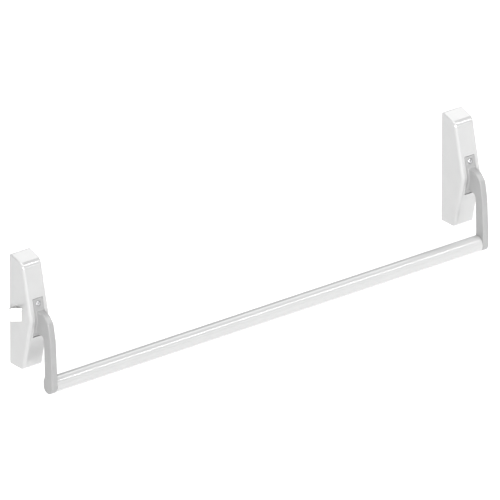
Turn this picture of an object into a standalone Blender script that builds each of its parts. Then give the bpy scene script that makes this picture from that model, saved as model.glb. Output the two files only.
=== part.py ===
"""Panic exit bar: a hinged push bar between two slim cases, the left one with a side latch bolt.

Metres, +Z up. X runs along the bar, +Y points into the door and the room is on the -Y side. The
origin is the middle of the active (left) base plate's back face. Shapes are laid out in depth, the
distance out from the door's face towards the room, so y = -depth.
"""

import math

import bmesh
import bpy
from mathutils import Matrix, Vector

# Cases
BAR_SPACING = 0.967  # from the middle of the active case to the middle of the idle case
CASE_WIDTH = 0.043
CASE_BOTTOM = -0.107
CASE_TOP = 0.108
KINK_DEPTH = 0.061  # the front's furthest point out from the door
KINK_HEIGHT = -0.004
UPPER_LEAN = math.radians(13)
LOWER_LEAN = math.radians(12)
TOP_SLOPE = math.radians(17)
COVER_WALL = 0.002
COVER_EDGE_RADIUS = 0.006
KINK_RADIUS = 0.030
BOTTOM_FRONT_RADIUS = 0.012
TOP_FRONT_RADIUS = 0.017
TOP_BACK_RADIUS = 0.004
PLATE_THICKNESS = 0.003
PLATE_TOP = 0.097
PLATE_CORNER_RADIUS = 0.008
COVER_SCREW_DEPTH = 0.018
COVER_SCREW_RADIUS, COVER_HOLE_RADIUS = 0.002, 0.0024
DOOR_SCREW_X, DOOR_SCREW_HEIGHT, DOOR_HOLE_RADIUS = 0.010, 0.082, 0.0033
SPRING_HEIGHT = -0.032
SPRING_RADIUS, SPRING_WIRE, SPRING_TURNS = 0.0045, 0.0012, 7
SHEET = 0.002  # folded steel sheet
GAP = 0.0003  # between pieces that rest on each other

# Push arms and bar
PIVOT_DEPTH, PIVOT_HEIGHT = 0.041, 0.008
PIVOT_PIN_RADIUS = 0.003
ARM_WIDTH = 0.013
ARM_EDGE_RADIUS = 0.0022
FACE_WIDTH = 0.0214  # the arm's kinked face, which fills the slot in the cover
FACE_BOTTOM, FACE_TOP = -0.0385, 0.033
FACE_PROUD = 0.0006
FACE_THICKNESS = 0.005
SLOT_SIDE_GAP = 0.0005
SLOT_BOTTOM, SLOT_TOP = -0.0405, 0.0337
TUBE_RADIUS, TUBE_WALL = 0.015, 0.002
TUBE_DEPTH, TUBE_HEIGHT = 0.086, -0.1242
SPIGOT_LENGTH = 0.026
GRUB_INSET = 0.014  # from the arm's side to the middle of the grub screw
GRUB_RADIUS, GRUB_HOLE_RADIUS = 0.003, 0.0033
ARM_SCREW_RADIUS, ARM_SCREW_HEAD_RADIUS = 0.0024, 0.0046
ARM_SCREW_HOLE_RADIUS, ARM_COUNTERBORE_RADIUS = 0.0027, 0.005
ARM_SCREW_HEIGHT = 0.024

# Latch
BOLT_DEPTHS = (0.018, 0.0346)
BOLT_HEIGHTS = (-0.013, 0.012)
BOLT_THROW = 0.0157
BOLT_HEAD_END = -0.016
BOLT_RUNNING_GAP = 0.0004
BOLT_SPRING_DEPTH, BOLT_SPRING_HEIGHT = 0.0235, 0.0075
CRANK_X, CRANK_DEPTH = -0.002, 0.0116
CRANK_PLATE = (-0.0195, -0.0165)
INPUT_ARM, INPUT_ANGLE = 0.012, math.radians(30)
OUTPUT_ARM, OUTPUT_ANGLE = 0.022, math.radians(21)
EAR_INSIDE, EAR_OUTSIDE = 0.0125, 0.0145

ARC_STEP = math.radians(15)

parts = None
cutters = None


# Shapes -----------------------------------------------------------------------------------------


def to_world(x, depth, height):
    return Vector((x, -depth, height))


def new_object(name, mesh, collection=None):
    obj = bpy.data.objects.new(name, mesh)
    (collection or parts).objects.link(obj)
    return obj


def front(height, offset=0.0):
    """Depth of the case's kinked front at a height, moved out square to the front by offset."""
    lean = UPPER_LEAN if height >= KINK_HEIGHT else LOWER_LEAN
    return KINK_DEPTH - math.tan(lean) * abs(height - KINK_HEIGHT) + offset / math.cos(lean)


def rounded(corners, step=ARC_STEP):
    """Outline points of (a, b, radius) corners, each radius an arc between its two sides."""
    points = []
    for index, (a, b, radius) in enumerate(corners):
        corner = Vector((a, b))
        if not radius:
            points.append(corner)
            continue
        before = Vector(corners[index - 1][:2])
        after = Vector(corners[(index + 1) % len(corners)][:2])
        to_before = (before - corner).normalized()
        to_after = (after - corner).normalized()
        half = to_before.angle(to_after) / 2
        centre = corner + (to_before + to_after).normalized() * radius / math.sin(half)
        start = corner + to_before * radius / math.tan(half) - centre
        end = corner + to_after * radius / math.tan(half) - centre
        turn = start.angle_signed(end)
        count = max(1, round(abs(turn) / step))
        for k in range(count + 1):
            points.append(centre + Matrix.Rotation(-turn * k / count, 2) @ start)
    return points


def extruded(name, outline, first, second, middle, thickness):
    """A flat outline drawn along the world directions first and second, as thick as thickness."""
    curve = bpy.data.curves.new(name, "CURVE")
    curve.dimensions = "2D"
    curve.fill_mode = "BOTH"
    curve.extrude = thickness / 2
    spline = curve.splines.new("POLY")
    spline.points.add(len(outline) - 1)
    for point, (a, b) in zip(spline.points, outline):
        point.co = (a, b, 0, 1)
    spline.use_cyclic_u = True
    guide = new_object(name + "_outline", curve, cutters)
    axes = Matrix((first, second, Vector(first).cross(Vector(second)))).transposed().to_4x4()
    guide.matrix_world = Matrix.Translation(middle) @ axes
    return as_mesh(guide, name)


def as_mesh(guide, name):
    """The curve object's solid as a mesh object, with its caps welded on and its flats whole."""
    bpy.context.view_layer.update()
    solid = guide.evaluated_get(bpy.context.evaluated_depsgraph_get())
    mesh = bpy.data.meshes.new_from_object(solid)
    bm = bmesh.new()
    bm.from_mesh(mesh)
    bm.transform(guide.matrix_world)
    bmesh.ops.remove_doubles(bm, verts=bm.verts, dist=1e-6)
    bmesh.ops.dissolve_limit(bm, angle_limit=math.radians(0.5), verts=bm.verts, edges=bm.edges)
    bmesh.ops.recalc_face_normals(bm, faces=bm.faces)
    bm.to_mesh(mesh)
    bm.free()
    bpy.data.objects.remove(guide)
    return new_object(name, mesh)


def side_solid(name, outline, x_low, x_high):
    """An outline of (depth, height) points, from x_low to x_high."""
    middle = ((x_low + x_high) / 2, 0, 0)
    return extruded(name, outline, (0, -1, 0), (0, 0, 1), middle, x_high - x_low)


def front_solid(name, outline, depth_low, depth_high):
    """An outline of (x, height) points, from depth_low to depth_high."""
    middle = (0, -(depth_low + depth_high) / 2, 0)
    return extruded(name, outline, (1, 0, 0), (0, 0, 1), middle, depth_high - depth_low)


def top_solid(name, outline, z_low, z_high):
    """An outline of (x, depth) points, from z_low to z_high."""
    middle = (0, 0, (z_low + z_high) / 2)
    return extruded(name, outline, (1, 0, 0), (0, -1, 0), middle, z_high - z_low)


def box(name, x, depth, height):
    """A box between (low, high) pairs of x, depth and height."""
    mesh = bpy.data.meshes.new(name)
    bm = bmesh.new()
    size = Matrix.Diagonal((x[1] - x[0], depth[1] - depth[0], height[1] - height[0], 1))
    middle = to_world(sum(x) / 2, sum(depth) / 2, sum(height) / 2)
    bmesh.ops.create_cube(bm, size=1, matrix=Matrix.Translation(middle) @ size)
    bm.to_mesh(mesh)
    bm.free()
    return new_object(name, mesh)


def rod(name, start, end, radius, sides=24):
    """A round rod between two world points."""
    mesh = bpy.data.meshes.new(name)
    bm = bmesh.new()
    run = Vector(end) - Vector(start)
    turn = run.to_track_quat("Z", "Y").to_matrix().to_4x4()
    place = Matrix.Translation((Vector(start) + Vector(end)) / 2) @ turn
    bmesh.ops.create_cone(
        bm,
        cap_ends=True,
        segments=sides,
        radius1=radius,
        radius2=radius,
        depth=run.length,
        matrix=place,
    )
    bm.to_mesh(mesh)
    bm.free()
    return new_object(name, mesh)


def coil(name, start, end, radius, wire, turns, flat=0.7):
    """A closed-ended compression spring from start to end; flat is the pitch share of its end turns."""
    steps = 10
    curve = bpy.data.curves.new(name, "CURVE")
    curve.dimensions = "3D"
    curve.bevel_depth = wire / 2
    curve.bevel_resolution = 2
    curve.use_fill_caps = True
    run = Vector(end) - Vector(start)
    across = run.orthogonal().normalized()
    other = run.normalized().cross(across)
    spline = curve.splines.new("POLY")
    count = turns * steps
    spline.points.add(count)
    for k in range(count + 1):
        share = k / count
        eased = share - flat * math.sin(2 * math.pi * share) / (2 * math.pi)
        along = wire / 2 + (run.length - wire) * eased
        angle = 2 * math.pi * k / steps
        offset = across * math.cos(angle) * radius + other * math.sin(angle) * radius
        spline.points[k].co = (*(Vector(start) + run.normalized() * along + offset), 1)
    return as_mesh(new_object(name + "_wire", curve, cutters), name)


# Joining and finishing ---------------------------------------------------------------------------


def boolean(obj, operation, others):
    for other in others:
        for collection in list(other.users_collection):
            collection.objects.unlink(other)
        cutters.objects.link(other)
        other.hide_render = True
        other.display_type = "WIRE"
        modifier = obj.modifiers.new(other.name, "BOOLEAN")
        modifier.operation = operation
        modifier.object = other
        modifier.solver = "EXACT"


def cut(obj, *others):
    boolean(obj, "DIFFERENCE", others)


def join(obj, *others):
    boolean(obj, "UNION", others)


def bevel(obj, width, segments=2, limit=math.radians(40)):
    modifier = obj.modifiers.new("Round edges", "BEVEL")
    modifier.width = width
    modifier.segments = segments
    modifier.limit_method = "ANGLE"
    modifier.angle_limit = limit


def finish(obj, material, origin=(0, 0, 0)):
    """Gives the piece its material, its smooth shading and an origin at a world point."""
    obj.data.materials.clear()
    obj.data.materials.append(material)
    obj.data.transform(Matrix.Translation(-Vector(origin)))
    obj.location = origin
    obj.data.shade_smooth()
    obj.data.set_sharp_from_angle(angle=math.radians(35))
    return obj


def finish_material(name, color, roughness, metallic):
    material = bpy.data.materials.new(name)
    material.use_nodes = True
    shader = material.node_tree.nodes["Principled BSDF"]
    shader.inputs["Base Color"].default_value = (*color, 1)
    shader.inputs["Roughness"].default_value = roughness
    shader.inputs["Metallic"].default_value = metallic
    material.diffuse_color = (*color, 1)
    return material


# Case pieces, the same in both cases ---------------------------------------------------------------


def case_outline():
    """The cover's side view, as (depth, height, radius) corners from the bottom of its back."""
    slope = math.tan(TOP_SLOPE)
    lean = math.tan(UPPER_LEAN)
    top_depth = (KINK_DEPTH - lean * (CASE_TOP - KINK_HEIGHT)) / (1 - lean * slope)
    return [
        (0, CASE_BOTTOM, 0),
        (front(CASE_BOTTOM), CASE_BOTTOM, BOTTOM_FRONT_RADIUS),
        (KINK_DEPTH, KINK_HEIGHT, KINK_RADIUS),
        (top_depth, CASE_TOP - slope * top_depth, TOP_FRONT_RADIUS),
        (0, CASE_TOP, TOP_BACK_RADIUS),
    ]


def make_cover(name, x, paint, latch_window):
    half = CASE_WIDTH / 2
    cover = side_solid(name, rounded(case_outline()), x - half, x + half)
    bm = bmesh.new()
    bm.from_mesh(cover.data)
    back = [face for face in bm.faces if face.normal.y > 0.999]
    bmesh.ops.delete(bm, geom=back, context="FACES")
    bm.to_mesh(cover.data)
    bm.free()
    bevel(cover, COVER_EDGE_RADIUS, segments=4, limit=math.radians(60))
    shell = cover.modifiers.new("Wall", "SOLIDIFY")
    shell.thickness = COVER_WALL
    shell.offset = -1
    shell.use_even_offset = True
    slot_half = FACE_WIDTH / 2 + SLOT_SIDE_GAP
    slot = box(
        name + "_slot", (x - slot_half, x + slot_half), (0.044, 0.07), (SLOT_BOTTOM, SLOT_TOP)
    )
    screw_hole = rod(
        name + "_screw_hole",
        to_world(x, COVER_SCREW_DEPTH, CASE_BOTTOM - 0.004),
        to_world(x, COVER_SCREW_DEPTH, CASE_BOTTOM + 0.004),
        COVER_HOLE_RADIUS,
        16,
    )
    cut(cover, slot, screw_hole)
    if latch_window:
        gap = BOLT_RUNNING_GAP
        window = box(
            name + "_window",
            (x - half - 0.002, x - half + 0.004),
            (BOLT_DEPTHS[0] - gap, BOLT_DEPTHS[1] + gap),
            (BOLT_HEIGHTS[0] - gap, BOLT_HEIGHTS[1] + gap),
        )
        cut(cover, window)
    return finish(cover, paint, (x, 0, 0))


def make_base_plate(name, x, steel):
    half = CASE_WIDTH / 2 - COVER_WALL - 2 * GAP
    low, high = CASE_BOTTOM + COVER_WALL + 2 * GAP, PLATE_TOP
    corners = [(x - half, low), (x + half, low), (x + half, high), (x - half, high)]
    outline = rounded([(a, b, PLATE_CORNER_RADIUS) for a, b in corners], math.radians(18))
    plate = front_solid(name, outline, 0, PLATE_THICKNESS)
    foot = box(name + "_foot", (x - 0.009, x + 0.009), (0.001, 0.026), (low, low + SHEET))
    tab = box(name + "_tab", (x - 0.008, x + 0.008), (0.001, 0.014), (0.092, 0.092 + SHEET))
    join(plate, foot, tab)
    holes = []
    for height in (-DOOR_SCREW_HEIGHT, DOOR_SCREW_HEIGHT):
        for hole_x in (x - DOOR_SCREW_X, x + DOOR_SCREW_X):
            start, end = to_world(hole_x, -0.002, height), to_world(hole_x, 0.006, height)
            holes.append(rod(f"{name}_hole_{len(holes)}", start, end, DOOR_HOLE_RADIUS, 16))
    thread = rod(
        name + "_thread",
        to_world(x, COVER_SCREW_DEPTH, low - 0.003),
        to_world(x, COVER_SCREW_DEPTH, low + 0.006),
        COVER_HOLE_RADIUS,
        16,
    )
    cut(plate, thread, *holes)
    return finish(plate, steel, (x, 0, 0))


def make_pivot_bracket(name, x, steel, latch_window):
    """A U of sheet steel whose two ears carry the pivot pin."""
    back = PLATE_THICKNESS + GAP
    outline = rounded(
        [
            (back, -0.021, 0),
            (0.030, -0.021, 0.006),
            (0.047, 0.000, 0.005),
            (0.047, 0.015, 0.006),
            (0.034, 0.026, 0.006),
            (back, 0.026, 0),
        ]
    )
    bracket = side_solid(name, outline, x - EAR_OUTSIDE, x + EAR_OUTSIDE)
    inside = box(
        name + "_inside", (x - EAR_INSIDE, x + EAR_INSIDE), (back + SHEET, 0.06), (-0.03, 0.03)
    )
    pin_hole = rod(
        name + "_pin_hole",
        to_world(x - 0.02, PIVOT_DEPTH, PIVOT_HEIGHT),
        to_world(x + 0.02, PIVOT_DEPTH, PIVOT_HEIGHT),
        PIVOT_PIN_RADIUS + GAP,
    )
    cut(bracket, inside, pin_hole)
    if latch_window:
        gap = 0.0006
        window = box(
            name + "_window",
            (x - 0.016, x - 0.011),
            (BOLT_DEPTHS[0] - gap, BOLT_DEPTHS[1] + gap),
            (BOLT_HEIGHTS[0] - gap, BOLT_HEIGHTS[1] + gap),
        )
        cut(bracket, window)
    return finish(bracket, steel, (x, 0, 0))


def make_pivot_pin(name, x, steel):
    def at(offset):
        return to_world(x + offset, PIVOT_DEPTH, PIVOT_HEIGHT)

    pin = rod(name, at(-0.0150), at(0.0172), PIVOT_PIN_RADIUS)
    head = rod(name + "_head", at(-EAR_OUTSIDE - GAP - 0.0016), at(-EAR_OUTSIDE - GAP), 0.0042)
    join(pin, head)
    return finish(pin, steel, (x, -PIVOT_DEPTH, PIVOT_HEIGHT))


def make_pin_clip(name, x, steel):
    """An open spring ring on the free end of the pivot pin."""
    near, far = EAR_OUTSIDE + GAP, EAR_OUTSIDE + GAP + 0.001
    centre = (PIVOT_DEPTH, PIVOT_HEIGHT)
    clip = rod(name, to_world(x + near, *centre), to_world(x + far, *centre), 0.006)
    bore = rod(
        name + "_bore",
        to_world(x + near - 0.002, *centre),
        to_world(x + far + 0.002, *centre),
        PIVOT_PIN_RADIUS + GAP,
    )
    mouth = box(
        name + "_mouth",
        (x + near - 0.002, x + far + 0.002),
        (PIVOT_DEPTH - 0.002, PIVOT_DEPTH + 0.002),
        (PIVOT_HEIGHT - 0.01, PIVOT_HEIGHT),
    )
    cut(clip, bore, mouth)
    return finish(clip, steel, (x, -PIVOT_DEPTH, PIVOT_HEIGHT))


def make_cover_screw(name, x, steel):
    def at(height):
        return to_world(x, COVER_SCREW_DEPTH, height)

    top = CASE_BOTTOM - GAP
    screw = rod(name, at(top - 0.0005), at(top + 0.012), COVER_SCREW_RADIUS, 16)
    head = rod(name + "_head", at(top - 0.0024), at(top), 0.004)
    bevel(head, 0.0007)
    join(screw, head)
    socket = rod(name + "_socket", at(top - 0.004), at(top - 0.001), 0.0014, 6)
    cut(screw, socket)
    return finish(screw, steel, at(top))


def make_return_spring(name, x, steel):
    start = to_world(x - 0.001, PLATE_THICKNESS + GAP, SPRING_HEIGHT)
    end = to_world(x - 0.001, front(SPRING_HEIGHT) - 0.0083, SPRING_HEIGHT)
    spring = coil(name, start, end, SPRING_RADIUS, SPRING_WIRE, SPRING_TURNS)
    return finish(spring, steel, start)


# Pieces that swing with the bar --------------------------------------------------------------------


def pivot_at(x):
    return (x, -PIVOT_DEPTH, PIVOT_HEIGHT)


def screw_point(x, out):
    """A point on the arm screw's axis, out from the face of the arm, square to that face."""
    start = to_world(x, front(ARM_SCREW_HEIGHT, FACE_PROUD), ARM_SCREW_HEIGHT)
    return start + Vector((0, -math.cos(UPPER_LEAN), math.sin(UPPER_LEAN))) * out


def face_outline(near, far):
    """Side view of a kinked plate between two offsets from the case's front."""
    return rounded(
        [
            (front(FACE_BOTTOM, near), FACE_BOTTOM, 0),
            (front(FACE_BOTTOM, far), FACE_BOTTOM, 0),
            (front(KINK_HEIGHT, far), KINK_HEIGHT, KINK_RADIUS + far),
            (front(FACE_TOP, far), FACE_TOP, 0),
            (front(FACE_TOP, near), FACE_TOP, 0),
            (front(KINK_HEIGHT, near), KINK_HEIGHT, 0),
        ],
        math.radians(8),
    )


def arm_outline():
    """Side view of the arm: root in the face, round shoulder, long lever and round lower end."""
    root = -0.0025
    end_radius = 0.0128
    end_front, end_back = 0.1013, 0.0757
    end_bottom = TUBE_HEIGHT - 0.0013 - end_radius
    return rounded(
        [
            (front(-0.031, root), -0.031, 0),
            (0.0775, -0.031, 0.009),
            (0.0795, -0.108, 0.02),
            (end_back, -0.116, 0.006),
            (end_back, end_bottom, end_radius - 1e-5),
            (end_front, end_bottom, end_radius - 1e-5),
            (end_front, -0.095, 0.05),
            (0.0980, -0.036, 0.08),
            (0.0915, -0.004, 0.014),
            (0.0790, 0.0095, 0.012),
            (front(0.012, root), 0.0120, 0),
            (front(KINK_HEIGHT, root), KINK_HEIGHT, 0),
        ],
        math.radians(18),
    )


def make_arm(name, x, side, paint):
    """The cast arm; side is 1 where the tube is on the arm's +X side and -1 where it is on the -X side."""
    half = FACE_WIDTH / 2
    face_near = FACE_PROUD - FACE_THICKNESS
    arm = side_solid(name, face_outline(face_near, FACE_PROUD), x - half, x + half)
    bevel(arm, 0.0012)
    lever = side_solid(name + "_lever", arm_outline(), x - ARM_WIDTH / 2, x + ARM_WIDTH / 2)
    bevel(lever, ARM_EDGE_RADIUS, limit=math.radians(50))
    inner = x + side * (ARM_WIDTH / 2 - 0.003)
    outer = x + side * (ARM_WIDTH / 2 + SPIGOT_LENGTH)
    spigot = rod(
        name + "_spigot",
        to_world(inner, TUBE_DEPTH, TUBE_HEIGHT),
        to_world(outer, TUBE_DEPTH, TUBE_HEIGHT),
        TUBE_RADIUS - TUBE_WALL - GAP,
        36,
    )
    bevel(spigot, 0.001)
    join(arm, lever, spigot)
    counterbore = rod(
        name + "_counterbore", screw_point(x, -0.0014), screw_point(x, 0.004), ARM_COUNTERBORE_RADIUS
    )
    clearance = rod(
        name + "_clearance", screw_point(x, -0.01), screw_point(x, 0.003), ARM_SCREW_HOLE_RADIUS, 16
    )
    grub_x = x + side * (ARM_WIDTH / 2 + GRUB_INSET)
    grub_seat = rod(
        name + "_grub_seat",
        to_world(grub_x, TUBE_DEPTH, TUBE_HEIGHT - 0.016),
        to_world(grub_x, TUBE_DEPTH, TUBE_HEIGHT - 0.006),
        GRUB_HOLE_RADIUS,
        16,
    )
    cut(arm, counterbore, clearance, grub_seat)
    return finish(arm, paint, pivot_at(x))


def carrier_outline():
    near = -FACE_THICKNESS + FACE_PROUD - GAP
    low, high = -0.037, 0.031
    return [
        (front(low, near), low),
        (front(KINK_HEIGHT, near), KINK_HEIGHT),
        (front(high, near), high),
        (0.0445, high),
        (0.0385, 0.0125),
        (0.0385, 0.004),
        (0.0450, -0.009),
        (0.0465, -0.020),
        (0.0465, low),
    ]


def make_carrier(name, x, steel, with_finger):
    """The steel channel that turns on the pivot pin, with the arm's face screwed to its front."""
    half = 0.009
    carrier = side_solid(name, carrier_outline(), x - half, x + half)
    inner = -FACE_THICKNESS + FACE_PROUD - GAP - 0.0025
    hollow_outline = [
        (0.030, -0.05),
        (front(-0.05, inner), -0.05),
        (front(KINK_HEIGHT, inner), KINK_HEIGHT),
        (front(0.045, inner), 0.045),
        (0.030, 0.045),
    ]
    hollow = side_solid(name + "_hollow", hollow_outline, x - 0.007, x + 0.007)
    cut(carrier, hollow)
    centre = (PIVOT_DEPTH, PIVOT_HEIGHT)
    hub = rod(name + "_hub", to_world(x - half, *centre), to_world(x + half, *centre), 0.0055)
    join(carrier, hub)
    if with_finger:
        outline = [(0.0222, -0.0275), (0.048, -0.0345), (0.0495, -0.0265), (0.0222, -0.0215)]
        finger = side_solid(name + "_finger", outline, x + 0.0075, x + 0.0115)
        join(carrier, finger)
    bore = rod(
        name + "_bore",
        to_world(x - 0.02, *centre),
        to_world(x + 0.02, *centre),
        PIVOT_PIN_RADIUS + GAP / 2,
    )
    thread = rod(
        name + "_thread", screw_point(x, -0.012), screw_point(x, -0.002), ARM_SCREW_HOLE_RADIUS, 16
    )
    cut(carrier, bore, thread)
    return finish(carrier, steel, pivot_at(x))


def make_arm_screw(name, x, steel):
    screw = rod(name, screw_point(x, -0.0110), screw_point(x, 0.0005), ARM_SCREW_RADIUS, 16)
    head = rod(
        name + "_head", screw_point(x, -0.0011), screw_point(x, 0.0014), ARM_SCREW_HEAD_RADIUS
    )
    bevel(head, 0.0008)
    join(screw, head)
    socket = rod(name + "_socket", screw_point(x, 0.0002), screw_point(x, 0.003), 0.0017, 6)
    cut(screw, socket)
    return finish(screw, steel, pivot_at(x))


def make_grub_screw(name, x, steel):
    def at(height):
        return to_world(x, TUBE_DEPTH, TUBE_HEIGHT + height)

    screw = rod(name, at(-0.0148), at(-0.0068), GRUB_RADIUS, 16)
    socket = rod(name + "_socket", at(-0.017), at(-0.0115), 0.0016, 6)
    cut(screw, socket)
    return finish(screw, steel, pivot_at(x))


def make_tube(name, paint):
    start = ARM_WIDTH / 2 + GAP
    end = BAR_SPACING - start

    def at(x):
        return to_world(x, TUBE_DEPTH, TUBE_HEIGHT)

    tube = rod(name, at(start), at(end), TUBE_RADIUS, 48)
    inside = rod(name + "_inside", at(start - 0.01), at(end + 0.01), TUBE_RADIUS - TUBE_WALL, 48)
    cut(tube, inside)
    reach = ARM_WIDTH / 2 + GRUB_INSET
    for label, x in (("active", reach), ("idle", BAR_SPACING - reach)):
        hole = rod(
            f"{name}_{label}_hole",
            to_world(x, TUBE_DEPTH, TUBE_HEIGHT - 0.02),
            to_world(x, TUBE_DEPTH, TUBE_HEIGHT - 0.01),
            GRUB_HOLE_RADIUS,
            16,
        )
        cut(tube, hole)
    return finish(tube, paint, pivot_at(0))


# Latch of the active case --------------------------------------------------------------------------


def spring_axis(x):
    return to_world(x, BOLT_SPRING_DEPTH, BOLT_SPRING_HEIGHT)


def make_latch_bolt(steel):
    near, far = BOLT_DEPTHS
    low, high = BOLT_HEIGHTS
    side = -CASE_WIDTH / 2
    tip = side - BOLT_THROW
    outline = [
        (tip, near),
        (tip, near + 0.0047),
        (side, far),
        (BOLT_HEAD_END, far),
        (BOLT_HEAD_END, near),
    ]
    bolt = top_solid("latch_bolt", outline, low, high)
    bevel(bolt, 0.0006)
    tail = box("latch_tail", (BOLT_HEAD_END - 0.002, -0.005), (0.020, 0.034), (-0.003, 0.003))
    join(bolt, tail)
    pin_x = CRANK_X - OUTPUT_ARM * math.sin(OUTPUT_ANGLE)
    notch = box("latch_notch", (pin_x - 0.0024, pin_x + 0.0024), (0.0285, 0.04), (-0.01, 0.01))
    pocket = rod("latch_pocket", spring_axis(-0.028), spring_axis(-0.01), 0.0041, 16)
    cut(bolt, notch, pocket)
    return finish(bolt, steel, to_world(side, (near + far) / 2, 0))


def make_bolt_guide(steel):
    """The frame that the bolt slides in, on a foot that stands on the base plate."""
    gap = BOLT_RUNNING_GAP
    x_range = (-0.0190, -0.0148)
    depth_low = PLATE_THICKNESS + GAP
    guide = box("bolt_guide", x_range, (depth_low, BOLT_DEPTHS[1] + 0.0016), (-0.0156, 0.0146))
    window = box(
        "guide_window",
        (-0.022, -0.012),
        (BOLT_DEPTHS[0] - gap, BOLT_DEPTHS[1] + gap),
        (BOLT_HEIGHTS[0] - gap, BOLT_HEIGHTS[1] + gap),
    )
    cut(guide, window)
    return finish(guide, steel)


def make_bolt_spring(steel):
    start = spring_axis(-0.0277)
    end = spring_axis(EAR_INSIDE - GAP)
    return finish(coil("bolt_spring", start, end, 0.003, 0.0008, 9, flat=0.5), steel, start)


def make_crank_bracket(steel):
    """A small U on the pivot bracket's web, whose lugs hold the crank post."""
    back = PLATE_THICKNESS + SHEET + 2 * GAP
    x_range = (CRANK_X - 0.005, CRANK_X + 0.005)
    bracket = box("crank_bracket", x_range, (back, CRANK_DEPTH + 0.0045), (-0.0240, -0.0111))
    inside = box(
        "crank_bracket_inside", (-0.02, 0.02), (back + 0.0016, 0.03), (-0.0222, -0.0129)
    )
    post_hole = rod(
        "crank_bracket_hole",
        to_world(CRANK_X, CRANK_DEPTH, -0.03),
        to_world(CRANK_X, CRANK_DEPTH, -0.005),
        0.0021,
        16,
    )
    cut(bracket, inside, post_hole)
    return finish(bracket, steel)


def make_crank_post(steel):
    def at(height):
        return to_world(CRANK_X, CRANK_DEPTH, height)

    post = rod("crank_post", at(-0.0255), at(-0.0106), 0.0018, 16)
    head = rod("crank_post_head", at(-0.0108), at(-0.0098), 0.003, 16)
    join(post, head)
    return finish(post, steel, at(-0.018))


def make_crank(steel):
    """Bell crank: its roller is pushed towards the door, its tall pin draws the bolt in."""
    low, high = CRANK_PLATE
    centre = (CRANK_X, CRANK_DEPTH)
    roller = (
        CRANK_X + INPUT_ARM * math.cos(INPUT_ANGLE),
        CRANK_DEPTH + INPUT_ARM * math.sin(INPUT_ANGLE),
    )
    pin = (
        CRANK_X - OUTPUT_ARM * math.sin(OUTPUT_ANGLE),
        CRANK_DEPTH + OUTPUT_ARM * math.cos(OUTPUT_ANGLE),
    )
    crank = rod("crank", to_world(*centre, -0.0218), to_world(*centre, -0.0133), 0.0038)
    for name, tip, half in (("crank_input", roller, 0.0022), ("crank_output", pin, 0.0023)):
        run = Vector(tip) - Vector(centre)
        across = Vector((-run.y, run.x)).normalized() * half
        corners = [Vector(centre) - across, Vector(tip) - across]
        corners += [Vector(tip) + across, Vector(centre) + across]
        arm = top_solid(name, corners, low, high)
        cap = rod(name + "_end", to_world(*tip, low + 1e-5), to_world(*tip, high - 1e-5), half, 16)
        join(crank, arm, cap)
    input_post = rod("crank_roller", to_world(*roller, -0.0275), to_world(*roller, -0.0140), 0.0021, 16)
    output_post = rod("crank_pin", to_world(*pin, low + 0.0005), to_world(*pin, 0.0035), 0.0019, 16)
    join(crank, input_post, output_post)
    bore = rod("crank_bore", to_world(*centre, -0.03), to_world(*centre, -0.005), 0.0020, 16)
    cut(crank, bore)
    return finish(crank, steel, to_world(*centre, -0.018))


# Assembly ------------------------------------------------------------------------------------------


def clear_scene():
    for obj in list(bpy.data.objects):
        bpy.data.objects.remove(obj)


def main():
    global parts, cutters
    clear_scene()
    parts = bpy.data.collections.new("panic_exit_bar")
    cutters = bpy.data.collections.new("cutters")
    for collection in (parts, cutters):
        bpy.context.scene.collection.children.link(collection)
    cutters.hide_render = True

    paint = finish_material("case_paint", (0.80, 0.80, 0.80), 0.42, 0.0)
    grey_paint = finish_material("arm_paint", (0.46, 0.46, 0.46), 0.45, 0.0)
    tube_paint = finish_material("tube_paint", (0.84, 0.84, 0.84), 0.3, 0.0)
    zinc = finish_material("zinc_steel", (0.62, 0.63, 0.65), 0.38, 1.0)
    hard_steel = finish_material("hard_steel", (0.55, 0.55, 0.56), 0.28, 1.0)
    nickel = finish_material("nickel_bolt", (0.88, 0.88, 0.87), 0.22, 1.0)
    spring_steel = finish_material("spring_steel", (0.42, 0.43, 0.45), 0.35, 1.0)

    for side, x, inward in (("active", 0.0, 1), ("idle", BAR_SPACING, -1)):
        latch = side == "active"
        make_base_plate(f"{side}_base_plate", x, zinc)
        make_pivot_bracket(f"{side}_pivot_bracket", x, zinc, latch)
        make_cover(f"{side}_cover", x, paint, latch)
        make_cover_screw(f"{side}_cover_screw", x, hard_steel)
        make_pivot_pin(f"{side}_pivot_pin", x, hard_steel)
        make_pin_clip(f"{side}_pin_clip", x, spring_steel)
        make_return_spring(f"{side}_return_spring", x, spring_steel)
        make_arm(f"{side}_arm", x, inward, grey_paint)
        make_carrier(f"{side}_carrier", x, zinc, latch)
        make_arm_screw(f"{side}_arm_screw", x, hard_steel)
        grub_x = x + inward * (ARM_WIDTH / 2 + GRUB_INSET)
        make_grub_screw(f"{side}_grub_screw", grub_x, hard_steel)
    make_tube("crossbar_tube", tube_paint)
    make_latch_bolt(nickel)
    make_bolt_guide(zinc)
    make_bolt_spring(spring_steel)
    make_crank_bracket(zinc)
    make_crank_post(hard_steel)
    make_crank(zinc)


main()
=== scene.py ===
"""Looks of the panic exit bar: covers, arms, tube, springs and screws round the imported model.

Metres. X runs along the bar, +Y points into the door, and depth is the distance out from the door's
face towards the room, so y = -depth.
"""

import math

import bmesh
import bpy
from mathutils import Matrix, Vector


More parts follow.
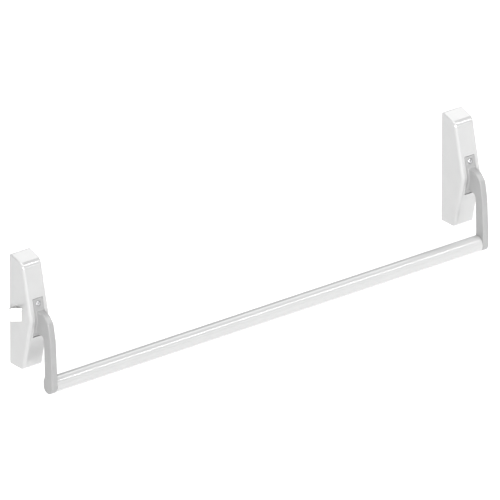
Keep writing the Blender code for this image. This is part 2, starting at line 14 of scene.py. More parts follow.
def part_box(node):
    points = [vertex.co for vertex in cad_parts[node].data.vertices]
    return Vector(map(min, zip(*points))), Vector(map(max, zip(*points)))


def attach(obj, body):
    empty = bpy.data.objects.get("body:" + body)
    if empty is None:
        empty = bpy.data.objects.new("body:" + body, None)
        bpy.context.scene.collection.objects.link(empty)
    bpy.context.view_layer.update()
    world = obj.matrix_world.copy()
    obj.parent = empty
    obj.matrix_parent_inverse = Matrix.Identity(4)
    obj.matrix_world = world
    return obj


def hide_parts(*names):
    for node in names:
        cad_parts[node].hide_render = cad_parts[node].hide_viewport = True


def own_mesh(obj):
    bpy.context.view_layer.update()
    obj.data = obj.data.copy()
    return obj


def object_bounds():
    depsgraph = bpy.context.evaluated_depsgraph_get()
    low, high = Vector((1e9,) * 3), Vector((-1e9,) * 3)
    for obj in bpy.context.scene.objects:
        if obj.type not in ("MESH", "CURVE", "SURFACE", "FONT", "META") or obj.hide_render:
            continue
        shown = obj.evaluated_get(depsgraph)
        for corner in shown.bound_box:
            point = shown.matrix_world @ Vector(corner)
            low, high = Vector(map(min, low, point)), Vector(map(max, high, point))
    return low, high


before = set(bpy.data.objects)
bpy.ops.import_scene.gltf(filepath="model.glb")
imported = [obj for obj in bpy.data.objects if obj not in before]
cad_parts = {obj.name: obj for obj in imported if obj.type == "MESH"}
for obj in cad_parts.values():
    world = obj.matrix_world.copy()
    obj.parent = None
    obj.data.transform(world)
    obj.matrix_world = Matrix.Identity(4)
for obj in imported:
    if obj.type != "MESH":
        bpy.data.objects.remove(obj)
CAD_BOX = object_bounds()

SIDES = {"active": 1, "idle": -1}  # which way along X the bar lies from each case's middle

# Case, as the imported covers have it
KINK_DEPTH, KINK_HEIGHT = 0.061, -0.004
CASE_TOP = 0.108
UPPER_LEAN, LOWER_LEAN = math.radians(13), math.radians(12)
TOP_SLOPE = math.radians(17)
KINK_RADIUS = 0.030
BOTTOM_FRONT_RADIUS, TOP_FRONT_RADIUS, TOP_BACK_RADIUS = 0.012, 0.017, 0.004
COVER_WALL = 0.002
FRONT_EDGE_RADIUS = 0.0064
EDGE_STEPS = 10
END_EDGE_SHARE = 0.4  # the top's and bottom's side edges are rounded less than the front's
FACING_START, FACING_RANGE = 0.3, 0.65  # how far a side faces the room where its rounding grows
SLOT_SIDE_GAP = 0.0005
SLOT_BOTTOM, SLOT_TOP = -0.0405, 0.0337
SLOT_DEPTHS = (0.044, 0.07)
SLOT_CORNER_RADIUS = 0.0012
FOOT_HOLE_RADIUS, FOOT_HOLE_REACH = 0.0024, 0.004
WINDOW_GAP = 0.0004
WINDOW_REACH = (-0.002, 0.004)  # across the case's side, from outside to inside
RIM_RADIUS = 0.0003

# Arms
FACE_WIDTH, FACE_PROUD, FACE_THICKNESS = 0.0214, 0.0006, 0.005
FACE_BOTTOM, FACE_TOP = -0.0385, 0.033
ARM_WIDTH = 0.013
ARM_ROOT_OFFSET = -0.0025  # how far behind the case's front the lever's root starts
ARM_END_FRONT, ARM_END_BACK = 0.1013, 0.0757
ARM_END_RADIUS, ARM_END_DROP = 0.0128, 0.0013
ARM_EDGE_RADIUS = 0.0022
FACE_RIM_SHARE = 0.3
ARM_SCREW_HEIGHT = 0.024
ARM_BORE_RADIUS, ARM_BORE_DEPTH = 0.005, 0.0014
ARM_HOLE_RADIUS, ARM_HOLE_DEPTH = 0.0027, 0.010

# Bar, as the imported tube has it
TUBE_RADIUS, TUBE_WALL, TUBE_CHAMFER = 0.015, 0.002, 0.0004
SPIGOT_LENGTH, SPIGOT_ROOT = 0.026, 0.003
SPIGOT_GAP, SPIGOT_CHAMFER = 0.0003, 0.001

# Screws: head radius and height, shank radius, and the socket's radius
FACE_SCREW_HEAD, FACE_SCREW_SHANK, FACE_SCREW_SOCKET = (0.0046, 0.0024), (0.0024, 0.0096), 0.0017
FACE_SCREW_SINK = 0.0011
FOOT_SCREW_HEAD, FOOT_SCREW_SHANK, FOOT_SCREW_SOCKET = (0.004, 0.0023), 0.002, 0.0014
FOOT_SCREW_SEAT = 0.0024  # from the tip of its head up to where its shank starts
SHANK_CHAMFER = 0.0004
SCREW_EDGE_RADIUS = 0.00008
SOCKET_FLOOR_SHARE = 0.35

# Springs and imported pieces
TURN_STEPS = 36
PACKED_EDGE_RADIUS = 0.0002


# Geometry ----------------------------------------------------------------------------------------


def middle_of(node):
    low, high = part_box(node)
    return (low + high) / 2


def to_world(x, depth, height):
    return Vector((x, -depth, height))


def front(height, offset=0.0):
    """Depth of the case's kinked front at a height, moved out square to the front by offset."""
    lean = UPPER_LEAN if height >= KINK_HEIGHT else LOWER_LEAN
    return KINK_DEPTH - math.tan(lean) * abs(height - KINK_HEIGHT) + offset / math.cos(lean)


def rounded(corners, step):
    """Outline points of (a, b, radius) corners, each radius an arc between its two sides."""
    points = []
    for index, (a, b, radius) in enumerate(corners):
        corner = Vector((a, b))
        if not radius:
            points.append(corner)
            continue
        before = Vector(corners[index - 1][:2])
        after = Vector(corners[(index + 1) % len(corners)][:2])
        to_before = (before - corner).normalized()
        to_after = (after - corner).normalized()
        half = to_before.angle(to_after) / 2
        centre = corner + (to_before + to_after).normalized() * radius / math.sin(half)
        start = corner + to_before * radius / math.tan(half) - centre
        end = corner + to_after * radius / math.tan(half) - centre
        turn = start.angle_signed(end)
        count = max(1, round(abs(turn) / step))
        for k in range(count + 1):
            points.append(centre + Matrix.Rotation(-turn * k / count, 2) @ start)
    return points


def new_object(name, mesh):
    obj = bpy.data.objects.new(name, mesh)
    bpy.context.scene.collection.objects.link(obj)
    return obj


def from_bmesh(name, bm):
    bmesh.ops.recalc_face_normals(bm, faces=bm.faces)
    mesh = bpy.data.meshes.new(name)
    bm.to_mesh(mesh)
    bm.free()
    return new_object(name, mesh)


def prism(name, outline, x_low, x_high):
    """A solid with a side view of (depth, height) points, from x_low to x_high."""
    bm = bmesh.new()
    near = [bm.verts.new(to_world(x_low, *point)) for point in outline]
    face = bm.faces.new(near)
    pushed = bmesh.ops.extrude_face_region(bm, geom=[face])["geom"]
    moved = [item for item in pushed if isinstance(item, bmesh.types.BMVert)]
    bmesh.ops.translate(bm, verts=moved, vec=(x_high - x_low, 0, 0))
    return from_bmesh(name, bm)


def block(name, x, depth, height):
    """A box. x, depth and height are each (low, high)."""
    (back, out), (bottom, top) = depth, height
    return prism(name, [(back, bottom), (out, bottom), (out, top), (back, top)], *x)


def turned(name, profile, start, axis, segments=64):
    """A solid of revolution. The profile is (radius, distance from start) points, end to end."""
    bm = bmesh.new()
    line = [bm.verts.new((radius, 0, along)) for radius, along in profile]
    edges = [bm.edges.new(pair) for pair in zip(line, line[1:])]
    bmesh.ops.spin(
        bm,
        geom=line + edges,
        axis=(0, 0, 1),
        cent=(0, 0, 0),
        angle=math.tau,
        steps=segments,
        use_merge=True,
    )
    bmesh.ops.remove_doubles(bm, verts=bm.verts, dist=1e-7)
    turn = Vector(axis).to_track_quat("Z", "Y").to_matrix().to_4x4()
    bm.transform(Matrix.Translation(start) @ turn)
    return from_bmesh(name, bm)


def rod(name, start, end, radius, segments=64):
    run = Vector(end) - Vector(start)
    profile = [(0, 0), (radius, 0), (radius, run.length), (0, run.length)]
    return turned(name, profile, start, run, segments)


def modify(obj, kind, **settings):
    modifier = obj.modifiers.new(kind.title(), kind)
    for key, value in settings.items():
        setattr(modifier, key, value)
    return modifier


def boolean(obj, operation, *others):
    for other in others:
        modify(obj, "BOOLEAN", operation=operation, object=other, solver="MANIFOLD")
        other.hide_render = True


def baked(obj, smooth=40):
    """Applies the object's modifiers, and removes the helpers that they used."""
    bpy.context.view_layer.update()
    graph = bpy.context.evaluated_depsgraph_get()
    mesh = bpy.data.meshes.new_from_object(obj.evaluated_get(graph))
    helpers = [m.object for m in obj.modifiers if m.type == "BOOLEAN"]
    obj.modifiers.clear()
    obj.data = mesh
    mesh.shade_smooth()
    mesh.set_sharp_from_angle(angle=math.radians(smooth))
    for helper in helpers:
        bpy.data.objects.remove(helper)
    return obj


def even_normals(obj):
    modify(obj, "WEIGHTED_NORMAL", keep_sharp=True, weight=80)


def done(obj, body, material, slot, *nodes):
    """The piece's last step: material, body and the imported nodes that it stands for."""
    obj.data.materials.clear()
    obj.data.materials.append(material)
    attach(obj, body)
    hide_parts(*nodes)


# Materials ---------------------------------------------------------------------------------------


class Nodes:
    """A material's node tree, with its shader and the piece's own coordinates."""

    def __init__(self, name):
        self.material = bpy.data.materials.new(name)
        self.material.use_nodes = True
        self.tree = self.material.node_tree
        self.shader = self.tree.nodes["Principled BSDF"]
        self.place = self.add("ShaderNodeTexCoord").outputs["Object"]

    def add(self, kind, **settings):
        node = self.tree.nodes.new(kind)
        for key, value in settings.items():
            setattr(node, key, value)
        return node

    def link(self, output, target):
        self.tree.links.new(output, target)

    def stretched(self, scale):
        """The piece's coordinates, scaled along X, Y and Z."""
        mapping = self.add("ShaderNodeMapping")
        mapping.inputs["Scale"].default_value = scale
        self.link(self.place, mapping.inputs["Vector"])
        return mapping.outputs["Vector"]

    def noise(self, size, detail=2.0, roughness=0.5, place=None):
        """Noise whose blotches are about size metres across."""
        node = self.add("ShaderNodeTexNoise")
        node.inputs["Scale"].default_value = 1 / size
        node.inputs["Detail"].default_value = detail
        node.inputs["Roughness"].default_value = roughness
        self.link(place or self.place, node.inputs["Vector"])
        return node.outputs["Fac"]

    def mapped(self, value, low, high, start=0.3, end=0.7):
        node = self.add("ShaderNodeMapRange")
        node.inputs["From Min"].default_value = start
        node.inputs["From Max"].default_value = end
        node.inputs["To Min"].default_value = low
        node.inputs["To Max"].default_value = high
        self.link(value, node.inputs["Value"])
        return node.outputs["Result"]

    def colour(self, noise, first, second):
        """The shader's colour, which noise mixes from two."""
        share = self.mapped(noise, 0, 1)
        node = self.add("ShaderNodeMix", data_type="RGBA")
        self.link(share, node.inputs["Factor"])
        node.inputs[6].default_value = (*first, 1)  # A and B of the colour kind of mix
        node.inputs[7].default_value = (*second, 1)
        self.link(node.outputs[2], self.shader.inputs["Base Color"])

    def gloss(self, noise, low, high):
        """The shader's roughness, which noise moves from low to high."""
        self.link(self.mapped(noise, low, high), self.shader.inputs["Roughness"])

    def bump(self, height, strength, distance, before=None):
        node = self.add("ShaderNodeBump")
        node.inputs["Strength"].default_value = strength
        node.inputs["Distance"].default_value = distance
        self.link(height, node.inputs["Height"])
        if before:
            self.link(before, node.inputs["Normal"])
        return node.outputs["Normal"]


def powder_coat(name, color, roughness):
    """Paint with a fine orange peel, a faint unevenness of tone and small changes in its gloss."""
    peel_size, peel_depth = 0.0016, 0.00002
    nodes = Nodes(name)
    shade = tuple(channel * 0.965 for channel in color)
    nodes.colour(nodes.noise(0.045, 3), color, shade)
    nodes.gloss(nodes.noise(0.012, 4), roughness - 0.05, roughness + 0.07)
    waves = nodes.bump(nodes.noise(peel_size, 1), 0.5, peel_depth)
    grain = nodes.bump(nodes.noise(peel_size / 4, 2), 0.25, peel_depth / 4, waves)
    nodes.link(grain, nodes.shader.inputs["Normal"])
    nodes.shader.inputs["Coat Weight"].default_value = 1
    nodes.shader.inputs["Coat IOR"].default_value = 1.8
    nodes.shader.inputs["Coat Roughness"].default_value = 0.14
    return nodes.material


def cast_paint(name, color, roughness):
    """Satin paint on a casting: soft dimples of the cast skin under the paint's own fine grain."""
    nodes = Nodes(name)
    lighter = tuple(channel * 1.06 for channel in color)
    nodes.colour(nodes.noise(0.02, 4), color, lighter)
    nodes.gloss(nodes.noise(0.006, 4), roughness - 0.06, roughness + 0.08)
    skin = nodes.bump(nodes.noise(0.0035, 3), 0.35, 0.00012)
    grain = nodes.bump(nodes.noise(0.0005, 2), 0.3, 0.00002, skin)
    nodes.link(grain, nodes.shader.inputs["Normal"])
    nodes.shader.inputs["Coat Weight"].default_value = 0.15
    nodes.shader.inputs["Coat Roughness"].default_value = 0.3
    return nodes.material


def tube_paint(name, color, roughness):
    """Smooth paint on a drawn tube, with faint draw lines along X."""
    nodes = Nodes(name)
    shade = tuple(channel * 0.975 for channel in color)
    nodes.colour(nodes.noise(0.08, 3), color, shade)
    lines = nodes.noise(0.0012, 3, place=nodes.stretched((0.02, 1, 1)))
    nodes.gloss(lines, roughness - 0.03, roughness + 0.05)
    drawn = nodes.bump(lines, 0.15, 0.00002)
    ripple = nodes.bump(nodes.noise(0.0011, 1), 0.3, 0.00002, drawn)
    nodes.link(ripple, nodes.shader.inputs["Normal"])
    nodes.shader.inputs["Coat Weight"].default_value = 1
    nodes.shader.inputs["Coat IOR"].default_value = 1.6
    nodes.shader.inputs["Coat Roughness"].default_value = 0.09
    return nodes.material


def plated_steel(name, color, stain, roughness, spangle=0.006):
    """Plated steel: cloudy spangles in tone and gloss, with fine rolling lines along Z."""
    nodes = Nodes(name)
    nodes.shader.inputs["Metallic"].default_value = 1
    nodes.colour(nodes.noise(spangle, 5, 0.6), color, stain)
    lines = nodes.noise(0.0006, 3, place=nodes.stretched((1, 1, 0.03)))
    nodes.gloss(lines, roughness - 0.08, roughness + 0.1)
    nodes.link(nodes.bump(lines, 0.2, 0.00001), nodes.shader.inputs["Normal"])
    return nodes.material


def bright_steel(name, color, roughness):
    """Ground or nickel-plated steel with very fine lines across X."""
    nodes = Nodes(name)
    nodes.shader.inputs["Metallic"].default_value = 1
    shade = tuple(channel * 0.93 for channel in color)
    nodes.colour(nodes.noise(0.004, 4), color, shade)
    lines = nodes.noise(0.0003, 2, place=nodes.stretched((1, 0.05, 1)))
    nodes.gloss(lines, roughness - 0.05, roughness + 0.08)
    nodes.link(nodes.bump(lines, 0.12, 0.000006), nodes.shader.inputs["Normal"])
    return nodes.material


CASE_PAINT = powder_coat("white_powder_coat", (0.37, 0.37, 0.37), 0.34)
ARM_PAINT = cast_paint("light_grey_cast_paint", (0.25, 0.25, 0.25), 0.36)
TUBE_PAINT = tube_paint("white_tube_paint", (0.37, 0.37, 0.37), 0.30)
ZINC = plated_steel("zinc_plate", (0.66, 0.68, 0.71), (0.56, 0.57, 0.58), 0.36)
SPRING_WIRE = plated_steel("spring_wire", (0.45, 0.46, 0.48), (0.32, 0.33, 0.35), 0.3, 0.002)
HARD_STEEL = bright_steel("bright_steel", (0.55, 0.55, 0.56), 0.42)
NICKEL = bright_steel("nickel_plate", (0.82, 0.82, 0.81), 0.3)


# Covers ------------------------------------------------------------------------------------------


def case_outline(bottom):
    """The cover's side view, as (depth, height, radius) corners from the bottom of its back."""
    slope, lean = math.tan(TOP_SLOPE), math.tan(UPPER_LEAN)
    top_depth = (KINK_DEPTH - lean * (CASE_TOP - KINK_HEIGHT)) / (1 - lean * slope)
    return [
        (0, bottom, 0),
        (front(bottom), bottom, BOTTOM_FRONT_RADIUS),
        (KINK_DEPTH, KINK_HEIGHT, KINK_RADIUS),
        (top_depth, CASE_TOP - slope * top_depth, TOP_FRONT_RADIUS),
        (0, CASE_TOP, TOP_BACK_RADIUS),
    ]


def edge_radius(normal):
    """The side edge's rounding: full along the front, less at top and bottom, none at the back."""
    facing = min(1, max(0, (normal[0] - FACING_START) / FACING_RANGE))
    back = min(1, max(0, -normal[0]))
    return FRONT_EDGE_RADIUS * (END_EDGE_SHARE + (1 - END_EDGE_SHARE) * facing) * (1 - back)


def outline_normals(outline):
    """Each outline point's outward normal, and how much further a corner moves than its sides."""
    sides = []
    for first, second in zip(outline, outline[1:]):
        along = (second - first).normalized()
        sides.append(Vector((along.y, -along.x)))
    normals = []
    for before, after in zip([sides[0]] + sides, sides + [sides[-1]]):
        middle = (before + after).normalized()
        normals.append((middle, 1 / middle.dot(after)))
    return normals


def shell_grid(bm, outline, normals, x_low, x_high, inset):
    """Rows of vertices across the cover, one per outline point, with round side edges."""
    rows = []
    for point, (normal, reach) in zip(outline, normals):
        radius = max(0, edge_radius(normal) - inset)
        row = []
        for k in range(EDGE_STEPS + 1):
            angle = math.pi / 2 * k / EDGE_STEPS
            place = point - normal * reach * (inset + radius * (1 - math.sin(angle)))
            row.append((inset + radius * (1 - math.cos(angle)), place))
        near = [bm.verts.new(to_world(x_low + x, *place)) for x, place in row]
        far = [bm.verts.new(to_world(x_high - x, *place)) for x, place in reversed(row)]
        rows.append(near + far)
    for first, second in zip(rows, rows[1:]):
        for k in range(len(first) - 1):
            bm.faces.new((first[k], first[k + 1], second[k + 1], second[k]))
    for column in (0, -1):
        bm.faces.new([row[column] for row in rows])
    return rows


def make_shell(name, x_low, x_high, bottom):
    """The cover's wall: an outer and an inner skin, joined round the open back."""
    outline = rounded(case_outline(bottom), math.radians(4))
    normals = outline_normals(outline)
    bm = bmesh.new()
    outer = shell_grid(bm, outline, normals, x_low, x_high, 0)
    inner = shell_grid(bm, outline, normals, x_low, x_high, COVER_WALL)
    outside, inside = (rows[0] + rows[-1][::-1] for rows in (outer, inner))
    for k in range(len(outside)):
        after = (k + 1) % len(outside)
        bm.faces.new((outside[k], outside[after], inside[after], inside[k]))
    bmesh.ops.remove_doubles(bm, verts=bm.verts, dist=1e-6)
    return from_bmesh(name, bm)


def make_cover(side):
    low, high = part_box(f"{side}_cover")
    x = (low.x + high.x) / 2
    name = f"{side}_case_cover"
    cover = make_shell(name, low.x, high.x, low.z)
    half = FACE_WIDTH / 2 + SLOT_SIDE_GAP
    slot = block(name + "_slot", (x - half, x + half), SLOT_DEPTHS, (SLOT_BOTTOM, SLOT_TOP))
    modify(slot, "BEVEL", width=SLOT_CORNER_RADIUS, segments=4, limit_method="ANGLE")
    foot = Vector((x, middle_of(f"{side}_cover_screw").y, low.z))
    reach = Vector((0, 0, FOOT_HOLE_REACH))
    hole = rod(name + "_hole", foot - reach, foot + reach, FOOT_HOLE_RADIUS, 32)
    boolean(cover, "DIFFERENCE", slot, hole)
    if side == "active":
        boolean(cover, "DIFFERENCE", bolt_window(name, low.x))
    modify(
        cover,
        "BEVEL",
        width=RIM_RADIUS,
        segments=2,
        limit_method="ANGLE",
        angle_limit=math.radians(60),
    )
    baked(cover)
    even_normals(cover)
    done(cover, "root", CASE_PAINT, "case_paint", f"{side}_cover")


def bolt_window(name, case_side):
    """The hole in the case's side that the latch bolt comes out of."""
    low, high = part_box("latch_bolt")
    return block(
        name + "_window",
        [case_side + reach for reach in WINDOW_REACH],
        (-high.y - WINDOW_GAP, -low.y + WINDOW_GAP),
        (low.z - WINDOW_GAP, high.z + WINDOW_GAP),
    )


# Arms and bar ------------------------------------------------------------------------------------


def face_outline():
    """Side view of the arm's face plate, which follows the kink of the case's front."""
    near, far = FACE_PROUD - FACE_THICKNESS, FACE_PROUD
    return rounded(
        [
            (front(FACE_BOTTOM, near), FACE_BOTTOM, 0),
            (front(FACE_BOTTOM, far), FACE_BOTTOM, 0),
            (front(KINK_HEIGHT, far), KINK_HEIGHT, KINK_RADIUS + far),
            (front(FACE_TOP, far), FACE_TOP, 0),
            (front(FACE_TOP, near), FACE_TOP, 0),
            (front(KINK_HEIGHT, near), KINK_HEIGHT, 0),
        ],
        math.radians(3),
    )


def arm_outline(tube_height):
    """Side view of the arm: root in the face, round shoulder, long lever and round lower end."""
    end_bottom = tube_height - ARM_END_DROP - ARM_END_RADIUS
    end_radius = ARM_END_RADIUS - 1e-5  # so that the two arcs at the end don't meet in one point
    return rounded(
        [
            (front(-0.031, ARM_ROOT_OFFSET), -0.031, 0),
            (0.0775, -0.031, 0.009),
            (0.0795, -0.108, 0.02),
            (ARM_END_BACK, -0.116, 0.006),
            (ARM_END_BACK, end_bottom, end_radius),
            (ARM_END_FRONT, end_bottom, end_radius),
            (ARM_END_FRONT, -0.095, 0.05),
            (0.0980, -0.036, 0.08),
            (0.0915, -0.004, 0.014),
            (0.0790, 0.0095, 0.012),
            (front(0.012, ARM_ROOT_OFFSET), 0.0120, 0),
            (front(KINK_HEIGHT, ARM_ROOT_OFFSET), KINK_HEIGHT, 0),
        ],
        math.radians(5),
    )


def arm_middle(side):
    """X of the middle of a case's arm. The frame's X starts at the active one."""
    return 0.0 if side == "active" else middle_of("idle_cover").x


def screw_line(x):
    """Where the arm screw's axis meets the arm's face, and its direction out."""
    point = to_world(x, front(ARM_SCREW_HEIGHT, FACE_PROUD), ARM_SCREW_HEIGHT)
    return point, Vector((0, -math.cos(UPPER_LEAN), math.sin(UPPER_LEAN)))


def weight_arm_edges(arm, x):
    """Bevel weights: full on the lever and where it meets the face, less on the face's rim."""
    bm = bmesh.new()
    bm.from_mesh(arm.data)
    layer = bm.edges.layers.float.new("bevel_weight_edge")
    for edge in bm.edges:
        if edge.calc_face_angle() < math.radians(50):
            continue
        reach = max(abs(vert.co.x - x) for vert in edge.verts)
        edge[layer] = 1 if reach < ARM_WIDTH / 2 + 1e-4 else FACE_RIM_SHARE
    bm.to_mesh(arm.data)
    bm.free()


def make_arm(side):
    way = SIDES[side]
    x = arm_middle(side)
    tube = middle_of("crossbar_tube")
    name = f"{side}_cast_arm"
    arm = prism(name, face_outline(), x - FACE_WIDTH / 2, x + FACE_WIDTH / 2)
    lever = prism(name + "_lever", arm_outline(tube.z), x - ARM_WIDTH / 2, x + ARM_WIDTH / 2)
    boolean(arm, "UNION", lever)
    baked(arm)
    weight_arm_edges(arm, x)
    modify(
        arm,
        "BEVEL",
        width=ARM_EDGE_RADIUS,
        segments=5,
        limit_method="WEIGHT",
        use_clamp_overlap=False,
    )
    inner = x + way * (ARM_WIDTH / 2 - SPIGOT_ROOT)
    outer = x + way * (ARM_WIDTH / 2 + SPIGOT_LENGTH)
    radius = TUBE_RADIUS - TUBE_WALL - SPIGOT_GAP
    spigot = rod(name + "_spigot", (inner, tube.y, tube.z), (outer, tube.y, tube.z), radius)
    modify(spigot, "BEVEL", width=SPIGOT_CHAMFER, segments=3, limit_method="ANGLE")
    boolean(arm, "UNION", spigot)
    point, out = screw_line(x)
    bore = rod(name + "_bore", point - out * ARM_BORE_DEPTH, point + out * 0.004, ARM_BORE_RADIUS)
    hole = rod(
        name + "_hole", point - out * ARM_HOLE_DEPTH, point + out * 0.003, ARM_HOLE_RADIUS, 32
    )
    boolean(arm, "DIFFERENCE", bore, hole)
    baked(arm, 50)
    even_normals(arm)
    done(arm, "bar", ARM_PAINT, "arm_paint", f"{side}_arm")


def make_tube():
    low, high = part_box("crossbar_tube")
    middle = (low + high) / 2
    radius = (high.z - low.z) / 2
    length = high.x - low.x
    profile = [
        (radius - TUBE_WALL, 0),
        (radius - TUBE_CHAMFER, 0),
        (radius, TUBE_CHAMFER),
        (radius, length - TUBE_CHAMFER),
        (radius - TUBE_CHAMFER, length),
        (radius - TUBE_WALL, length),
        (radius - TUBE_WALL, 0),
    ]
    tube = turned("push_bar_tube", profile, (low.x, middle.y, middle.z), (1, 0, 0), 128)
    baked(tube, 30)
    done(tube, "bar", TUBE_PAINT, "tube_paint", "crossbar_tube")


# Screws and springs ------------------------------------------------------------------------------


def button_profile(radius, height, shank, length):
    """Half section of a button-head screw, from the tip of its shank to the top of its head."""
    crown = [
        (radius * math.cos(angle), height * 0.25 + height * 0.75 * math.sin(angle))
        for angle in (math.radians(10 * k) for k in range(9))
    ]
    return [
        (0, -length),
        (shank - SHANK_CHAMFER, -length),
        (shank, -length + SHANK_CHAMFER),
        (shank, 0),
        (radius, 0),
        *crown,
        (0, height),
    ]


def make_screw(name, base, out, head, shank, socket, body, node):
    """A button-head screw with a six-sided socket. Head and shank are each (radius, length)."""
    screw = turned(name, button_profile(*head, *shank), base, out)
    out = Vector(out)
    floor = base + out * (head[1] * SOCKET_FLOOR_SHARE)
    drive = rod(name + "_socket", floor, base + out * (head[1] + 0.002), socket, 6)
    boolean(screw, "DIFFERENCE", drive)
    modify(
        screw,
        "BEVEL",
        width=SCREW_EDGE_RADIUS,
        segments=2,
        limit_method="ANGLE",
        angle_limit=math.radians(50),
    )
    baked(screw)
    even_normals(screw)
    done(screw, body, HARD_STEEL, "hard_steel", node)


def make_screws(side):
    """The screw in the arm's face, and the one up into the case's foot."""
    x = arm_middle(side)
    point, out = screw_line(x)
    make_screw(
        f"{side}_face_screw",
        point - out * FACE_SCREW_SINK,
        out,
        FACE_SCREW_HEAD,
        FACE_SCREW_SHANK,
        FACE_SCREW_SOCKET,
        "bar",
        f"{side}_arm_screw",
    )
    low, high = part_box(f"{side}_cover_screw")
    seat = low.z + FOOT_SCREW_SEAT
    make_screw(
        f"{side}_foot_screw",
        Vector((x, (low.y + high.y) / 2, seat)),
        (0, 0, -1),
        FOOT_SCREW_HEAD,
        (FOOT_SCREW_SHANK, high.z - seat),
        FOOT_SCREW_SOCKET,
        "root",
        f"{side}_cover_screw",
    )


def make_spring(name, node, axis, radius, wire, turns, crowd):
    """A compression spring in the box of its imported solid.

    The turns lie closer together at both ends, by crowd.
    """
    low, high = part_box(node)
    middle = (low + high) / 2
    length = high[axis] - low[axis]
    across, other = [(1, 2), (0, 2), (0, 1)][axis]
    curve = bpy.data.curves.new(name, "CURVE")
    curve.dimensions = "3D"
    curve.bevel_depth = wire / 2
    curve.bevel_resolution = 5
    curve.use_fill_caps = True
    spline = curve.splines.new("POLY")
    count = turns * TURN_STEPS
    spline.points.add(count)
    for k in range(count + 1):
        share = k / count
        eased = share - crowd * math.sin(math.tau * share) / math.tau
        angle = math.tau * k / TURN_STEPS
        point = [0.0, 0.0, 0.0]
        point[axis] = low[axis] + wire / 2 + (length - wire) * eased
        point[across] = middle[across] + radius * math.cos(angle)
        point[other] = middle[other] + radius * math.sin(angle)
        spline.points[k].co = (*point, 1)
    wire_line = new_object(name + "_line", curve)
    bpy.context.view_layer.update()
    solid = wire_line.evaluated_get(bpy.context.evaluated_depsgraph_get())
    spring = new_object(name, bpy.data.meshes.new_from_object(solid))
    bpy.data.objects.remove(wire_line)
    spring.data.shade_smooth()
    spring.data.set_sharp_from_angle(angle=math.radians(60))
    done(spring, "root", SPRING_WIRE, "spring_steel", node)
    anchor = list(middle)
    anchor[axis] = high[axis]
    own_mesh(spring)


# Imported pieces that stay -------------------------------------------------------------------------


def finish_packed(node, material):
    """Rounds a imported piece's edges a little and gives it its material."""
    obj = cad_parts[node]
    obj.data.materials.clear()
    obj.data.materials.append(material)
    modify(obj, "WELD", merge_threshold=1e-6)
    modify(
        obj,
        "BEVEL",
        width=PACKED_EDGE_RADIUS,
        segments=2,
        limit_method="ANGLE",
        angle_limit=math.radians(50),
    )
    even_normals(obj)


def finish_inside():
    """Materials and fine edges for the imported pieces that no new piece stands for."""
    for side in SIDES:
        for part in ("base_plate", "pivot_bracket", "carrier"):
            finish_packed(f"{side}_{part}", ZINC)
        for part in ("pivot_pin", "grub_screw"):
            finish_packed(f"{side}_{part}", HARD_STEEL)
        finish_packed(f"{side}_pin_clip", SPRING_WIRE)
    for node in ("bolt_guide", "crank_bracket", "crank"):
        finish_packed(node, ZINC)
    finish_packed("crank_post", HARD_STEEL)
    finish_packed("latch_bolt", NICKEL)


# Stage -------------------------------------------------------------------------------------------

VIEW_AZIMUTH, VIEW_ELEVATION = math.radians(-37.8), math.radians(25.2)
VIEW_WIDTH = 0.885
LOOK_AT = Vector((0.4758, -0.0475, -0.0124))
LENS, SENSOR = 1400, 36
FLOOR_SIZE, FLOOR_DROP = 20, 0.9
LIGHT_DISTANCE = 6.0
HORIZON, CEILING = 0.70, 0.12  # the world's strength below and above its fade
FADE_START, FADE_END = 0.15, 0.5  # heights of a direction, as the sine of its elevation


def direction(azimuth, elevation):
    """Towards a viewer who looks along +Y at azimuth 0 and along -X at 90 degrees."""
    return Vector(
        (
            math.sin(azimuth) * math.cos(elevation),
            -math.cos(azimuth) * math.cos(elevation),
            math.sin(elevation),
        )
    )


def make_camera():
    data = bpy.data.cameras.new("camera")
    data.lens = LENS
    data.sensor_width = SENSOR
    distance = VIEW_WIDTH * LENS / SENSOR
    data.clip_start, data.clip_end = 1, distance * 3
    camera = new_object("camera", data)
    back = direction(VIEW_AZIMUTH, VIEW_ELEVATION)
    camera.location = LOOK_AT + back * distance
    camera.rotation_euler = (-back).to_track_quat("-Z", "Y").to_euler()
    bpy.context.scene.camera = camera


def make_floor():
    nodes = Nodes("pale_floor")
    nodes.colour(nodes.noise(0.5, 3), (0.93, 0.93, 0.93), (0.91, 0.91, 0.91))
    nodes.shader.inputs["Roughness"].default_value = 0.9
    nodes.shader.inputs["Specular IOR Level"].default_value = 0.1
    bm = bmesh.new()
    bmesh.ops.create_grid(bm, x_segments=8, y_segments=8, size=FLOOR_SIZE)
    bm.transform(Matrix.Translation((LOOK_AT.x, 0, CAD_BOX[0].z - FLOOR_DROP)))
    floor = from_bmesh("floor", bm)
    floor.data.materials.append(nodes.material)


def make_light(name, towards, size, power):
    """A rectangular softbox, in a direction from the object. Its first size lies along the bar."""
    data = bpy.data.lights.new(name, "AREA")
    data.shape = "RECTANGLE"
    data.size, data.size_y = size
    data.energy = power
    light = new_object(name, data)
    towards, along = Vector(towards).normalized(), Vector((1, 0, 0))
    light.location = LOOK_AT + towards * LIGHT_DISTANCE
    out = (towards - along * towards.dot(along)).normalized()
    turn = Matrix((along, out.cross(along), out)).transposed()
    light.rotation_euler = turn.to_euler()


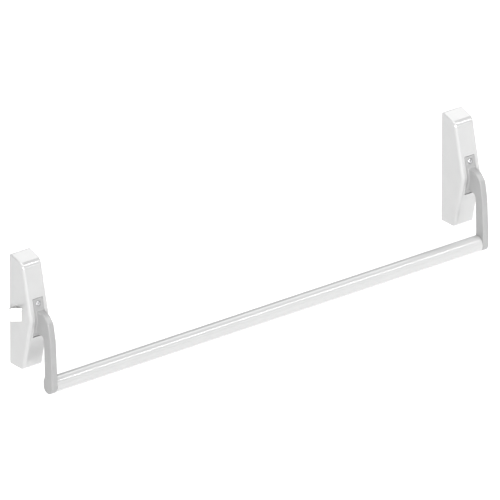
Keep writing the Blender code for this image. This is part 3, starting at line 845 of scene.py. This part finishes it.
def make_sun(name, towards, softness, strength):
    """A soft key light from a direction. Softness is its angle across, in degrees."""
    data = bpy.data.lights.new(name, "SUN")
    data.angle = math.radians(softness)
    data.energy = strength
    light = new_object(name, data)
    light.rotation_euler = Vector(towards).to_track_quat("Z", "Y").to_euler()


def make_world():
    """A pale band above the horizon, fading to a dim studio ceiling."""
    world = bpy.data.worlds.new("studio")
    world.use_nodes = True
    tree = world.node_tree
    place = tree.nodes.new("ShaderNodeTexCoord")
    parts = tree.nodes.new("ShaderNodeSeparateXYZ")
    fade = tree.nodes.new("ShaderNodeMapRange")
    fade.interpolation_type = "SMOOTHSTEP"
    fade.inputs["From Min"].default_value = FADE_START
    fade.inputs["From Max"].default_value = FADE_END
    fade.inputs["To Min"].default_value = HORIZON
    fade.inputs["To Max"].default_value = CEILING
    tree.nodes["Background"].inputs["Color"].default_value = (1, 1, 1, 1)
    tree.links.new(place.outputs["Generated"], parts.inputs["Vector"])
    tree.links.new(parts.outputs["Z"], fade.inputs["Value"])
    tree.links.new(fade.outputs["Result"], tree.nodes["Background"].inputs["Strength"])
    bpy.context.scene.world = world


def make_lights():
    make_world()
    make_sun("high_key", (-0.1, -0.2, 1), 60, 2.4)
    make_sun("front_key", (-0.62, -0.73, 0.25), 18, 3.6)
    make_light("upper_band", (0.555, -0.45, 0.70), (4.5, 0.18), 100)
    make_light("lower_band", (0.555, -0.75, 0.33), (4.5, 0.2), 16)
    make_light("back_panel", (0.555, 0.355, 0.752), (4.5, 2.4), 82)


# Making ------------------------------------------------------------------------------------------

bpy.context.scene.view_settings.view_transform = "Standard"
make_camera()
make_floor()
make_lights()
for case_side in SIDES:
    make_cover(case_side)
    make_arm(case_side)
    make_screws(case_side)
    make_spring(
        f"{case_side}_coil_spring",
        f"{case_side}_return_spring",
        axis=1,
        radius=0.0045,
        wire=0.0012,
        turns=7,
        crowd=0.7,
    )
make_spring(
    "bolt_coil_spring",
    "bolt_spring",
    axis=0,
    radius=0.003,
    wire=0.0008,
    turns=9,
    crowd=0.5,
)
make_tube()
finish_inside()

bpy.context.view_layer.update()
